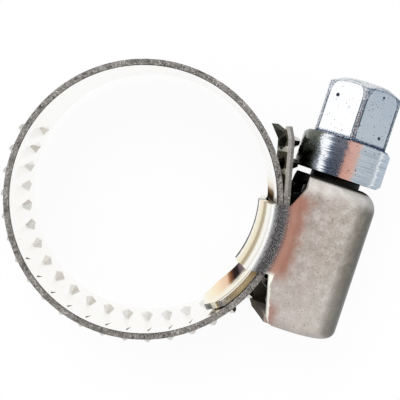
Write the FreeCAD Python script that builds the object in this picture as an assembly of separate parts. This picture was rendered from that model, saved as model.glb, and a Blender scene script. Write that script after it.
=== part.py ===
"""Worm-drive hose clamp with a hex-head screw, in millimetres.

The ring's axis is +Z through the origin, at the middle of the band's width.
The screw lies along +Y on the +X side of the ring, with its hex head at the +Y end.
One band strip runs from the tongue inside the strap, up and round the ring,
back through the strap under the worm, and out as the free tail.
Inside the strap both layers bend round SEAT, a little up the screw from the ring's axis.
"""
import FreeCAD, Part
import math
import os

# Band strip
BAND_WIDTH = 9.0
BAND_SHEET = 0.6
RING_RADIUS = 13.1
LAYER_GAP = 0.06

# Where the strap and its two layers of band lie
SEAT_SHIFT = 0.6
FREE_LIFT = 0.4
ARC_START_DEG = -14.0
TAIL_START_DEG = 14.0
FIXED_LIFT_DEG = 12.5
RING_RISE_DEG = 45.0
RING_FALL_DEG = 290.0

# Pressed thread on the band
RIDGE_PITCH = 2.13
RIDGE_PHASE_DEG = 1.95
RING_RIDGE_DEG = -16.25
LAST_RIDGE_DEG = -193.0
BEND_RISE = 0.4
RIDGE_HEIGHT = 0.75
RIDGE_FOOT = 1.3
RIDGE_TOP = 0.6
RIDGE_BODY = 4.6
RIDGE_POINT = 1.3

# Ends of the strip
TAIL_LENGTH = 7.3
TAIL_CHAMFER = 1.25
TAIL_NOTCH = 0.55
FAR_PRONG = 0.35
FAR_PRONG_WIDTH = 0.6
PRONG_FOLD = 1.2
PRONG_BEND_DEG = 27.0
TONGUE_END_DEG = -45.2
TONGUE_CHAMFER = 1.9
CHAMFER_ACROSS = 2.4

# Worm screw
WORM_INSET = 0.85
WORM_GAP = 0.12
THREAD_DEPTH = 0.85
THREAD_CREST = 0.7
THREAD_FLANK_DEG = 30.0
THREAD_TURNS = 4.6
THREAD_END_ROOM = 1.1
WORM_BEVEL = 0.4
NECK_STEP = 0.3
JOURNAL_STEP = 1.0
JOURNAL_INSET = 0.15
COLLAR_STEP = 0.75
COLLAR_HEIGHT = 3.75
COLLAR_BEVEL = 0.35
HEX_ACROSS_FLATS = 7.0
HEX_HEIGHT = 5.85
HEX_TURN_DEG = 37.0
HEX_BEVEL_DEG = 28.0
HEX_BEVEL_REACH = 1.4

# Folded housing
HOUSING_SHEET = 0.7
SIDE_FLARE = 0.3
FLARE_RISE = 0.8
WORM_ROOM = 0.23
HOUSING_FRONT = 7.1
HOUSING_REAR = -7.75
REAR_SLANT_DEG = 4.5
SHOULDER_RADIUS = 1.9
REAR_RADIUS = 1.0
TURNING_GAP = 0.1
COLLAR_GAP = 0.55
FRONT_EDGE_DEG = 24.0
FRONT_EDGE_RISE = 0.9
NEAR_EDGE_DEG = 16.0
FAR_EDGE_DEG = 6.0
NEAR_CORNER = 0.7
FAR_CORNER = 0.6

# Strap that folds round the band's edges
STRAP_START_DEG = -20.0
STRAP_END_DEG = 13.5
STRAP_SIDE_ROOM = 0.25
STRAP_MIDDLE_GAP = 0.5
LEG_SPRING = 0.6
STRAP_FOOT_Y = -2.75
STRAP_FOOT_DEG = 8.0

# How far a cutting shape reaches past what it cuts
MARGIN = 1.0
SINK = 0.1

# Derived places
HALF_BAND = BAND_WIDTH / 2
HALF_SHEET = BAND_SHEET / 2
RING_MIDDLE = RING_RADIUS - HALF_SHEET
FREE_OUTER = RING_RADIUS + FREE_LIFT
FREE_MIDDLE = FREE_OUTER - HALF_SHEET
FIXED_MIDDLE = FREE_MIDDLE - BAND_SHEET - LAYER_GAP
FIXED_INNER = FIXED_MIDDLE - HALF_SHEET
WORM_RADIUS = HALF_BAND - WORM_INSET
SCREW_X = FREE_OUTER + WORM_GAP + WORM_RADIUS
THREAD_ROOT = WORM_RADIUS - THREAD_DEPTH
NECK_RADIUS = THREAD_ROOT - NECK_STEP
JOURNAL_RADIUS = THREAD_ROOT - JOURNAL_STEP
COLLAR_RADIUS = WORM_RADIUS + COLLAR_STEP
STRAP_INNER = FIXED_INNER - HOUSING_SHEET
STRAP_SIDE_INNER = HALF_BAND + STRAP_SIDE_ROOM
STRAP_SIDE_OUTER = STRAP_SIDE_INNER + HOUSING_SHEET
SIDE_OUTER = STRAP_SIDE_OUTER + SIDE_FLARE
FLARE_START = FREE_OUTER - FLARE_RISE / 2
FLARE_END = FREE_OUTER + FLARE_RISE / 2
RING_BEND = RING_MIDDLE + BEND_RISE
SEAT_BEND = FREE_MIDDLE + BEND_RISE
RING_STEP_DEG = math.degrees(RIDGE_PITCH / RING_BEND)
SEAT_STEP_DEG = math.degrees(RIDGE_PITCH / SEAT_BEND)
THREAD_LEAD = RIDGE_PITCH * (FREE_OUTER + RIDGE_HEIGHT / 2) / SEAT_BEND
DOME_CREST_X = SCREW_X + WORM_RADIUS + WORM_ROOM + HOUSING_SHEET

X_AXIS = FreeCAD.Vector(1, 0, 0)
Y_AXIS = FreeCAD.Vector(0, 1, 0)
Z_AXIS = FreeCAD.Vector(0, 0, 1)
RING_CENTRE = FreeCAD.Vector(0, 0, 0)
SEAT = FreeCAD.Vector(0, SEAT_SHIFT, 0)


def polar(radius, degrees, centre=RING_CENTRE):
    """Point on the ring's plane at a radius and an angle from +X."""
    angle = math.radians(degrees)
    return centre + FreeCAD.Vector(radius * math.cos(angle), radius * math.sin(angle), 0)


def prism(edges, direction):
    """Solid swept straight from a closed outline."""
    return Part.Face(Part.Wire(Part.__sortEdges__(edges))).extrude(direction)


def outline_prism(points, direction):
    """Solid swept straight from a closed polygon."""
    return Part.Face(Part.makePolygon(points + points[:1])).extrude(direction)


def station(radius, degrees, centre):
    """Place on the middle of the sheet, and the direction away from the ring there."""
    outward = polar(1, degrees)
    return centre + outward * radius, outward


def radial_slope(place):
    """How fast a path through this place leaves the ring's axis, per radian."""
    point, outward = place
    along = Z_AXIS.cross(outward)
    spoke = point / point.Length
    return point.Length * along.dot(spoke) / along.dot(Z_AXIS.cross(spoke))


def swing(start, end, share):
    """Station at a share of the smooth path between two stations."""
    angles = []
    for point, _ in (start, end):
        angles.append(math.atan2(point.y, point.x))
    if angles[1] < angles[0]:
        angles[1] += 2 * math.pi
    span = angles[1] - angles[0]
    radii = [start[0].Length, end[0].Length]
    slopes = [radial_slope(start) * span, radial_slope(end) * span]
    rest = 1 - share
    radius = (radii[0] * (1 + 2 * share) * rest ** 2 + slopes[0] * share * rest ** 2
              + radii[1] * share ** 2 * (3 - 2 * share) - slopes[1] * share ** 2 * rest)
    growth = (6 * share * rest * (radii[1] - radii[0]) + slopes[0] * rest * (1 - 3 * share)
              - slopes[1] * share * (2 - 3 * share)) / span
    spoke = polar(1, math.degrees(angles[0] + span * share))
    outward = spoke * radius - Z_AXIS.cross(spoke) * growth
    return spoke * radius, outward / outward.Length


def arc_strip(radius, start_deg, end_deg, centre):
    """Stretch of band along an arc, from the sheet's middle radius."""
    edges = []
    ends = []
    for offset in (-HALF_SHEET, HALF_SHEET):
        points = [polar(radius + offset, d, centre) for d in (start_deg, (start_deg + end_deg) / 2, end_deg)]
        edges.append(Part.Arc(*points).toShape())
        ends.append(points)
    for side in (0, -1):
        edges.append(Part.makeLine(ends[0][side], ends[1][side]))
    return band_width(edges)


def swing_strip(start, end):
    """Stretch of band along the smooth path between two stations."""
    count = 8
    places = [swing(start, end, i / count) for i in range(count + 1)]
    edges = []
    ends = []
    for offset in (-HALF_SHEET, HALF_SHEET):
        points = [point + outward * offset for point, outward in places]
        tangents = [Z_AXIS.cross(places[side][1]) for side in (0, -1)]
        curve = Part.BSplineCurve()
        curve.interpolate(Points=points, InitialTangent=tangents[0], FinalTangent=tangents[1])
        edges.append(curve.toShape())
        ends.append(points)
    for side in (0, -1):
        edges.append(Part.makeLine(ends[0][side], ends[1][side]))
    return band_width(edges)


def band_width(edges):
    """Outline in the ring's plane swept over the band's width."""
    solid = prism(edges, Z_AXIS * BAND_WIDTH)
    solid.translate(Z_AXIS * -HALF_BAND)
    return solid


def tail_frame():
    """Foot on the sheet's middle, direction and outward normal of the straight tail."""
    foot, outward = station(FREE_MIDDLE, TAIL_START_DEG, SEAT)
    return foot, Z_AXIS.cross(outward), outward


def tail_strip():
    """Straight free end: a chamfered corner, a notch, and a far prong bent towards the ring."""
    foot, along, outward = tail_frame()
    inner_face = foot - outward * HALF_SHEET
    notch = (TAIL_LENGTH - TAIL_NOTCH, 0)
    fold = (TAIL_LENGTH - PRONG_FOLD, -HALF_BAND)
    flat = [(0, -HALF_BAND), fold, notch, (TAIL_LENGTH, HALF_BAND - CHAMFER_ACROSS),
            (TAIL_LENGTH - TAIL_CHAMFER, HALF_BAND), (0, HALF_BAND)]
    prong = [fold, (TAIL_LENGTH + FAR_PRONG, -HALF_BAND),
             (TAIL_LENGTH + FAR_PRONG, FAR_PRONG_WIDTH - HALF_BAND), notch]
    lean = math.tan(math.radians(PRONG_BEND_DEG))
    points = [inner_face + along * run + Z_AXIS * z for run, z in flat]
    bent = []
    for run, z in prong:
        past = run - notch[0] - z / fold[1] * (fold[0] - notch[0])
        bent.append(inner_face + along * run + Z_AXIS * z - outward * (past * lean))
    return outline_prism(points, outward * BAND_SHEET).fuse(outline_prism(bent, outward * BAND_SHEET))


def tongue_corner(side):
    """Wedge that takes one corner off the tongue's end; side is +1 or -1 in Z."""
    foot, outward = station(FIXED_MIDDLE, TONGUE_END_DEG, SEAT)
    along = Z_AXIS.cross(outward)
    chamfer = along * TONGUE_CHAMFER + Z_AXIS * (side * CHAMFER_ACROSS)
    tip = foot + Z_AXIS * (side * (HALF_BAND - CHAMFER_ACROSS)) - outward * (BAND_SHEET + MARGIN)
    reach = 1 + MARGIN / TONGUE_CHAMFER
    points = [tip - along * MARGIN, tip, tip + chamfer * reach,
              tip - along * MARGIN + Z_AXIS * (side * CHAMFER_ACROSS * reach)]
    return outline_prism(points, outward * (2 * BAND_SHEET + 2 * MARGIN))


def strip():
    """The whole strip before its thread is pressed."""
    ring_top = station(RING_MIDDLE, RING_RISE_DEG, RING_CENTRE)
    ring_bottom = station(RING_MIDDLE, RING_FALL_DEG, RING_CENTRE)
    tongue = arc_strip(FIXED_MIDDLE, TONGUE_END_DEG, FIXED_LIFT_DEG, SEAT)
    for side in (-1, 1):
        tongue = tongue.cut(tongue_corner(side))
    pieces = [
        swing_strip(station(FIXED_MIDDLE, FIXED_LIFT_DEG, SEAT), ring_top),
        arc_strip(RING_MIDDLE, RING_RISE_DEG, RING_FALL_DEG, RING_CENTRE),
        swing_strip(ring_bottom, station(FREE_MIDDLE, ARC_START_DEG, SEAT)),
        arc_strip(FREE_MIDDLE, ARC_START_DEG, TAIL_START_DEG, SEAT),
        tail_strip(),
    ]
    return tongue.multiFuse(pieces).removeSplitter()


def ridge_places():
    """Frames (foot on the outer face, tangent, normal) of every pressed ridge.

    The strip bends about a line BEND_RISE above its middle, so its ridges lie closer where it is bent.
    """
    foot, along, outward = tail_frame()
    places = []
    angle = RIDGE_PHASE_DEG
    while angle < TAIL_START_DEG:
        places.append(station(FREE_MIDDLE, angle, SEAT))
        angle += SEAT_STEP_DEG
    run = math.radians(angle - TAIL_START_DEG) * SEAT_BEND
    while run < TAIL_LENGTH - PRONG_FOLD:
        places.append((foot + along * run, outward))
        run += RIDGE_PITCH
    angle = RIDGE_PHASE_DEG - SEAT_STEP_DEG
    while angle > ARC_START_DEG:
        places.append(station(FREE_MIDDLE, angle, SEAT))
        angle -= SEAT_STEP_DEG
    start = station(RING_MIDDLE, RING_FALL_DEG, RING_CENTRE)
    end = station(FREE_MIDDLE, ARC_START_DEG, SEAT)
    end_deg = math.degrees(math.atan2(end[0].y, end[0].x))
    ring_end_deg = RING_FALL_DEG - 360
    angle = RING_RIDGE_DEG
    while angle > LAST_RIDGE_DEG:
        if angle > ring_end_deg:
            places.append(swing(start, end, (angle - ring_end_deg) / (end_deg - ring_end_deg)))
        else:
            places.append(station(RING_MIDDLE, angle, RING_CENTRE))
        angle -= RING_STEP_DEG
    return [(point + outward * HALF_SHEET, Z_AXIS.cross(outward), outward) for point, outward in places]


def pressed_form(place, levels):
    """Sloped block with pointed ends across the band, turned by the thread's lead angle.

    Each level is its height, its width and its half length without the point.
    """
    foot, tangent, outward = place
    lead = math.atan(THREAD_LEAD / (2 * math.pi * WORM_RADIUS))
    across = Z_AXIS * math.cos(lead) + tangent * math.sin(lead)
    along = tangent * math.cos(lead) - Z_AXIS * math.sin(lead)
    rings = []
    for level, width, reach in levels:
        point = reach + RIDGE_POINT * width / RIDGE_FOOT
        centre = foot + outward * level
        outline = [(width / 2, -reach), (width / 2, reach), (0, point),
                   (-width / 2, reach), (-width / 2, -reach), (0, -point)]
        rings.append([centre + along * x + across * z for x, z in outline])
    faces = [Part.Face(Part.makePolygon(ring + ring[:1])) for ring in rings]
    count = len(rings[0])
    for i in range(count):
        after = (i + 1) % count
        corners = [rings[0][i], rings[0][after], rings[1][after], rings[1][i], rings[0][i]]
        faces.append(Part.Face(Part.makePolygon(corners)))
    return Part.Solid(Part.Shell(faces))


def band():
    """The strip with its thread pressed outwards, hollow on the inside."""
    slope = (RIDGE_FOOT - RIDGE_TOP) / RIDGE_HEIGHT
    half = RIDGE_BODY / 2
    ridge_levels = [(-SINK, RIDGE_FOOT + slope * SINK, half), (RIDGE_HEIGHT, RIDGE_TOP, half)]
    floor = RIDGE_HEIGHT - BAND_SHEET
    hollow_levels = [(-BAND_SHEET - SINK, RIDGE_FOOT, half), (floor, RIDGE_TOP / 2, half)]
    ridges = []
    hollows = []
    for place in ridge_places():
        ridges.append(pressed_form(place, ridge_levels))
        hollows.append(pressed_form(place, hollow_levels))
    return strip().multiFuse(ridges).cut(Part.makeCompound(hollows))


def rear_plane(offset):
    """Point on the housing's slanted rear face and the direction out of it."""
    slant = math.radians(REAR_SLANT_DEG)
    outward = FreeCAD.Vector(0, -math.cos(slant), math.sin(slant))
    return FreeCAD.Vector(0, HOUSING_REAR, 0) - outward * offset, outward


def housing_block(offset):
    """Housing's body, with its shoulders and rear edge rounded; offset inwards for its hollow."""
    radius = SIDE_OUTER - offset
    centre_x = DOME_CREST_X - SIDE_OUTER
    foot_x = STRAP_INNER - offset
    front = HOUSING_FRONT - offset
    crest = FreeCAD.Vector(centre_x + radius, front, 0)
    corners = [FreeCAD.Vector(foot_x, front, -radius), FreeCAD.Vector(centre_x, front, -radius),
               FreeCAD.Vector(centre_x, front, radius), FreeCAD.Vector(foot_x, front, radius)]
    edges = [
        Part.makeLine(corners[0], corners[1]),
        Part.Arc(corners[1], crest, corners[2]).toShape(),
        Part.makeLine(corners[2], corners[3]),
        Part.makeLine(corners[3], corners[0]),
    ]
    block = prism(edges, Y_AXIS * (HOUSING_REAR - HOUSING_FRONT - 2 * MARGIN))
    point, outward = rear_plane(offset)
    beyond = Part.makePlane(4 * SCREW_X, 4 * SCREW_X, point, outward)
    beyond.translate(point - beyond.CenterOfMass)
    block = block.cut(beyond.extrude(outward * 2 * SIDE_OUTER))
    front_point = FreeCAD.Vector(0, front, 0)
    block = block.makeFillet(SHOULDER_RADIUS - offset, rim_edges(block, front_point, Y_AXIS, foot_x))
    return block.makeFillet(REAR_RADIUS - offset, rim_edges(block, point, outward, foot_x))


def rim_edges(solid, point, normal, foot_x):
    """Edges of one end of the housing, without the one at the open foot."""
    found = []
    for edge in solid.Edges:
        places = edge.discretize(Number=3)
        flat = all(abs((place - point).dot(normal)) < Part.Precision.confusion() * 10 for place in places)
        if flat and max(place.x for place in places) > foot_x + MARGIN:
            found.append(edge)
    return found


def edge_outline(rear_deg, z):
    """Outline of what is cut away below one side wall's lower edge."""
    low_x = STRAP_INNER - MARGIN - SIDE_OUTER
    rear = polar(FREE_OUTER, ARC_START_DEG, SEAT)
    front = polar(FREE_OUTER, STRAP_END_DEG, SEAT)
    rear_y = HOUSING_REAR - SIDE_OUTER
    rise_y = front.y + FRONT_EDGE_RISE / math.tan(math.radians(FRONT_EDGE_DEG))
    outline = [(low_x, rear_y), (rear.x + (rear.y - rear_y) * math.tan(math.radians(rear_deg)), rear_y),
               (rear.x, rear.y), (FREE_OUTER, SEAT.y), (front.x, front.y),
               (front.x + FRONT_EDGE_RISE, rise_y), (front.x + FRONT_EDGE_RISE, HOUSING_FRONT + MARGIN),
               (low_x, HOUSING_FRONT + MARGIN)]
    points = [FreeCAD.Vector(x, y, z) for x, y in outline]
    return Part.makePolygon(points + points[:1])


def below_edges():
    """Everything below the walls' lower edges; the far wall reaches lower at the rear."""
    reach = SIDE_OUTER + MARGIN
    wires = [edge_outline(FAR_EDGE_DEG, -reach), edge_outline(NEAR_EDGE_DEG, reach)]
    return Part.makeLoft(wires, True, True)


def corner_cut(side, edge_deg, radius):
    """Sliver that rounds a side wall's corner between its lower and its rear edge."""
    slope = math.tan(math.radians(edge_deg))
    start = polar(FREE_OUTER, ARC_START_DEG, SEAT)
    wall = side * (SIDE_OUTER + MARGIN)
    depth = -side * (MARGIN + HOUSING_SHEET + REAR_RADIUS)
    rear_y = HOUSING_REAR + side * (SIDE_OUTER - REAR_RADIUS) * math.tan(math.radians(REAR_SLANT_DEG))
    corner = FreeCAD.Vector(start.x + (start.y - rear_y) * slope, rear_y, wall)
    up_edge = FreeCAD.Vector(-slope, 1, 0).normalize()
    centre = corner + up_edge * radius + FreeCAD.Vector(1, slope, 0).normalize() * radius
    block = [corner - X_AXIS * MARGIN - Y_AXIS * MARGIN, corner + up_edge * radius - X_AXIS * MARGIN,
             centre, centre - Y_AXIS * (radius + MARGIN)]
    wedge = outline_prism(block, Z_AXIS * depth)
    low = centre + Z_AXIS * min(depth, 0)
    return wedge.cut(Part.makeCylinder(radius, abs(depth), low, Z_AXIS))


def flare_edge(start, end):
    """Curve that swings a wall sideways while both its ends point away from the ring."""
    curve = Part.BSplineCurve()
    curve.interpolate(Points=[start, end], InitialTangent=X_AXIS, FinalTangent=X_AXIS)
    return curve.toShape()


def strap_leg(side):
    """One leg folded round a band edge to the inside of the ring, standing off a little at its end."""
    fold = STRAP_SIDE_ROOM + HOUSING_SHEET
    bend = STRAP_SIDE_ROOM
    middle = STRAP_MIDDLE_GAP / 2
    share = 1 - math.sqrt(0.5)
    inner, outer = STRAP_SIDE_INNER, STRAP_SIDE_OUTER

    def at(x, z):
        return FreeCAD.Vector(x, SEAT.y, side * z)

    edges = [
        Part.makeLine(at(STRAP_INNER - LEG_SPRING, middle), at(STRAP_INNER, outer - fold)),
        Part.Arc(at(STRAP_INNER, outer - fold),
                 at(STRAP_INNER + fold * share, outer - fold * share),
                 at(STRAP_INNER + fold, outer)).toShape(),
        Part.makeLine(at(STRAP_INNER + fold, outer), at(FLARE_START, outer)),
        flare_edge(at(FLARE_START, outer), at(FLARE_END, outer + SIDE_FLARE)),
        Part.makeLine(at(FLARE_END, outer + SIDE_FLARE), at(FLARE_END, inner + SIDE_FLARE)),
        flare_edge(at(FLARE_START, inner), at(FLARE_END, inner + SIDE_FLARE)),
        Part.makeLine(at(FLARE_START, inner), at(FIXED_INNER + bend, inner)),
        Part.Arc(at(FIXED_INNER + bend, inner),
                 at(FIXED_INNER + bend * share, inner - bend * share),
                 at(FIXED_INNER, inner - bend)).toShape(),
        Part.makeLine(at(FIXED_INNER, inner - bend), at(FIXED_INNER - LEG_SPRING, middle)),
        Part.makeLine(at(FIXED_INNER - LEG_SPRING, middle), at(STRAP_INNER - LEG_SPRING, middle)),
    ]
    section = Part.Face(Part.Wire(Part.__sortEdges__(edges)))
    section.rotate(SEAT, Z_AXIS, STRAP_START_DEG)
    leg = section.revolve(SEAT, Z_AXIS, STRAP_END_DEG - STRAP_START_DEG)
    return leg.cut(strap_foot_cut())


def strap_foot_cut():
    """Everything past the strap's rear edge, which leans away from the screw towards the ring's inside."""
    lean = math.tan(math.radians(STRAP_FOOT_DEG))
    outline = []
    for x in (STRAP_INNER - MARGIN, FLARE_END + MARGIN):
        outline.append((x, STRAP_FOOT_Y - (FREE_OUTER - x) * lean))
    outline += [(x, HOUSING_REAR) for x in (FLARE_END + MARGIN, STRAP_INNER - MARGIN)]
    z = -SIDE_OUTER - MARGIN
    points = [FreeCAD.Vector(x, y, z) for x, y in outline]
    return outline_prism(points, Z_AXIS * (-2 * z))


def screw_cylinder(radius, start_y, end_y):
    """Round length of the screw, or the space for one."""
    return Part.makeCylinder(radius, end_y - start_y, FreeCAD.Vector(SCREW_X, start_y, 0), Y_AXIS)


def housing():
    """Stamped cover over the worm, with its strap legs, as one folded sheet."""
    shell = housing_block(0).cut(housing_block(HOUSING_SHEET))
    shell = shell.cut(below_edges())
    shell = shell.cut(corner_cut(1, NEAR_EDGE_DEG, NEAR_CORNER)).cut(corner_cut(-1, FAR_EDGE_DEG, FAR_CORNER))
    neck_hole = screw_cylinder(NECK_RADIUS + TURNING_GAP, SEAT.y, HOUSING_FRONT + MARGIN)
    journal_hole = screw_cylinder(JOURNAL_RADIUS + TURNING_GAP, HOUSING_REAR - MARGIN, SEAT.y)
    shell = shell.cut(neck_hole).cut(journal_hole)
    return shell.multiFuse([strap_leg(-1), strap_leg(1)]).removeSplitter()


def hex_head(start_y):
    """Hexagonal drive with bevelled corners at its end."""
    corner = HEX_ACROSS_FLATS / math.sqrt(3)
    points = []
    for i in range(6):
        angle = math.radians(HEX_TURN_DEG + 60 * i)
        points.append(FreeCAD.Vector(SCREW_X + corner * math.cos(angle), start_y, corner * math.sin(angle)))
    block = outline_prism(points, Y_AXIS * HEX_HEIGHT)
    end_y = start_y + HEX_HEIGHT
    drop = (corner - HEX_ACROSS_FLATS / 2) * HEX_BEVEL_REACH
    cone_foot = corner + SINK
    cone_top = corner - drop / math.tan(math.radians(HEX_BEVEL_DEG))
    foot_y = end_y - drop - SINK * math.tan(math.radians(HEX_BEVEL_DEG))
    cone = Part.makeCone(cone_foot, cone_top, end_y - foot_y, FreeCAD.Vector(SCREW_X, foot_y, 0), Y_AXIS)
    body = screw_cylinder(cone_foot, start_y, foot_y)
    return block.common(body.fuse(cone).removeSplitter())


def worm_thread(start_y, ridge_y):
    """Helical thread whose grooves take the band's ridges, one of them at ridge_y."""
    flank = math.tan(math.radians(THREAD_FLANK_DEG))
    root = THREAD_ROOT - SINK
    crest_half = THREAD_CREST / 2
    root_half = crest_half + (THREAD_DEPTH + SINK) * flank
    helix = Part.makeHelix(THREAD_LEAD, THREAD_LEAD * THREAD_TURNS, root)
    points = [FreeCAD.Vector(root, 0, -root_half), FreeCAD.Vector(root, 0, root_half),
              FreeCAD.Vector(WORM_RADIUS, 0, crest_half), FreeCAD.Vector(WORM_RADIUS, 0, -crest_half)]
    section = Part.makePolygon(points + points[:1])
    thread = Part.Wire(helix).makePipeShell([section], True, True)
    thread.rotate(RING_CENTRE, X_AXIS, -90)
    turns = (start_y - ridge_y) / THREAD_LEAD + 0.5
    thread.rotate(RING_CENTRE, Y_AXIS, 180 + 360 * turns)
    thread.translate(FreeCAD.Vector(SCREW_X, start_y, 0))
    return thread


def screw():
    """Worm, neck, collar and hex drive as one turned and cut piece."""
    slant = math.tan(math.radians(REAR_SLANT_DEG))
    front_face = HOUSING_FRONT - HOUSING_SHEET - TURNING_GAP
    rear_face = HOUSING_REAR + HOUSING_SHEET + THREAD_ROOT * slant + TURNING_GAP
    collar_y = HOUSING_FRONT + COLLAR_GAP
    hex_y = collar_y + COLLAR_HEIGHT
    core = screw_cylinder(THREAD_ROOT, rear_face, front_face)
    core = core.makeChamfer(WORM_BEVEL, [e for e in core.Edges if is_circle(e)])
    journal = screw_cylinder(JOURNAL_RADIUS, HOUSING_REAR + JOURNAL_INSET, rear_face)
    neck = screw_cylinder(NECK_RADIUS, front_face, collar_y)
    collar = screw_cylinder(COLLAR_RADIUS, collar_y, hex_y)
    collar = collar.makeChamfer(COLLAR_BEVEL, [e for e in collar.Edges if is_circle(e)])
    ridge_y = SEAT.y + (FREE_OUTER + RIDGE_HEIGHT / 2) * math.sin(math.radians(RIDGE_PHASE_DEG))
    thread = worm_thread(rear_face + THREAD_END_ROOM, ridge_y)
    return core.multiFuse([journal, neck, collar, hex_head(hex_y), thread]).removeSplitter()


def is_circle(edge):
    return isinstance(edge.Curve, Part.Circle)


def main():
    os.makedirs("parts", exist_ok=True)
    nodes = {"band": band(), "housing": housing(), "screw": screw()}
    for name, shape in nodes.items():
        print(name, shape.isValid(), len(shape.Solids), round(shape.Volume, 2), shape.BoundBox)
        shape.exportStep("parts/" + name + ".step")


main()
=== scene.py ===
"""Studio scene of the worm-drive hose clamp. Lengths are in metres, in the part's own frame:
the ring's axis is +Z, the screw lies along +Y on the +X side, and the hex head is at the +Y end.
Materials work in millimetres of that frame. A constant that is a pair of numbers and is given to
step() says where a mask is 0 and where it is 1. Masks are numbers of 0 to 1 over the surface.
"""

import math

import bpy
from mathutils import Matrix, Vector


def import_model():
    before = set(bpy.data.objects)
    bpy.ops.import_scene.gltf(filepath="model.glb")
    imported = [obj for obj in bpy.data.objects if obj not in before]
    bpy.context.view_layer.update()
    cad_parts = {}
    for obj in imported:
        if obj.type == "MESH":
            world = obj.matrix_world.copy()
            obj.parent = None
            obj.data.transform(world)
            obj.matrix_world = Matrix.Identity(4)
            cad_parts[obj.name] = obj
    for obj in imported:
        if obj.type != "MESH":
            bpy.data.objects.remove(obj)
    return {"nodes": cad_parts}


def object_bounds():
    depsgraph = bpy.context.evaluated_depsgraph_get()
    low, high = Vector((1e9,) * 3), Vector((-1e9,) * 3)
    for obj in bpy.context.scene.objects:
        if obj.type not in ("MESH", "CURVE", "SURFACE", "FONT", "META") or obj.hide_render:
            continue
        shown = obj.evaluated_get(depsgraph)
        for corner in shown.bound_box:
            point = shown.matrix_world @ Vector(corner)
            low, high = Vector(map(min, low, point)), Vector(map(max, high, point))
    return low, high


MM = 0.001

# Camera, straight above the ring and looking down its axis
CAMERA_FOOT = (3.73 * MM, 7.25 * MM)
CAMERA_HEIGHT = 66.5 * MM
CAMERA_ROLL_DEG = 18.4
FOCAL_SHARE = 1.663
SENSOR = 36.0
SHIFT = (-0.015, -0.155)
CLIP_START = 0.001
CLIP_END = 5

WHITE = (1.0, 1.0, 1.0)

# Floor and key lamp; the card's start and end are in millimetres
FLOOR_SIZE = 1.2
FLOOR_PAINT = (0.93, 0.93, 0.93)
FLOOR_ROUGHNESS = 0.9
FLOOR_GLOW = 0.93
FLOOR_CARD = (0.50, 0.56, 0.63)
CARD_START_X = (21.0, 23.0)
CARD_END_X = (90.0, 70.0)
KEY_PLACE = (-0.12, 0.15, 0.25)
KEY_SIZE = 0.2
KEY_POWER = 0.5

# What gloss sees of the world: colours at a lean in degrees from +Z towards +X, SKY towards +Y and
# CARDS elsewhere, parted at CARDS_EDGE of the direction's own y
CARDS = (
    (-112, (0.5, 0.5, 0.48)), (-104, (0.20, 0.22, 0.19)), (-97, (0.42, 0.44, 0.42)), (-90, WHITE),
    (-54, WHITE), (-48, (0.06, 0.10, 0.18)), (-36, (0.006, 0.014, 0.04)), (-8, (0.01, 0.02, 0.05)),
    (-4, (0.58, 0.26, 0.19)), (24, (0.66, 0.38, 0.30)), (31, (0.46, 0.51, 0.55)), (100, (0.42, 0.46, 0.50)))
SKY = (
    (-100, (0.95, 0.95, 0.95)), (-30, WHITE), (0, (0.9, 0.93, 0.97)), (30, (0.40, 0.45, 0.52)),
    (100, (0.38, 0.43, 0.49)))
CARDS_EDGE = (0.125, 0.105)
SOFT_LIGHT = 0.8
GLOSS_LIGHT = 1.1

# Places on the part, in millimetres and degrees
SEAT_Y = 0.6
TAIL_OUT_DEG = 14.0
TAIL_INNER = 13.05
FAR_PRONG_FROM = 5.8
FAR_PRONG_SLOPE = 0.6
RIDGE_PITCH = 2.13
RIDGE_PHASE = 1.98
# Angle and pitch of the ring's hollows, for the painted shade at their near ends
HOLLOW_SHADE_DEG = -14.5
HOLLOW_SHADE_STEP_DEG = 9.24
HOUSING_CORE = (15.5, -0.3, 0)
REAR_CUT_Y = -3.75
REAR_CUT_DEG = 16
SCREW_X = 17.27
COLLAR_FOOT = 7.65
COLLAR_TOP = 11.4
EDGE_SOFT = 0.4
FACE_DEG = 60
HEX_CORNER_DEG = -7.0
ARCH_TOP = 16.95
ARCH_DROP = 2.8

# Pits that stand out on the head: place and radius in millimetres
PITS = (((14.49, 15.25, 2.29), 0.24), ((19.5, 12.4, 3.0), 0.26), ((18.6, 16.2, 3.24), 0.16))


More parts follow.
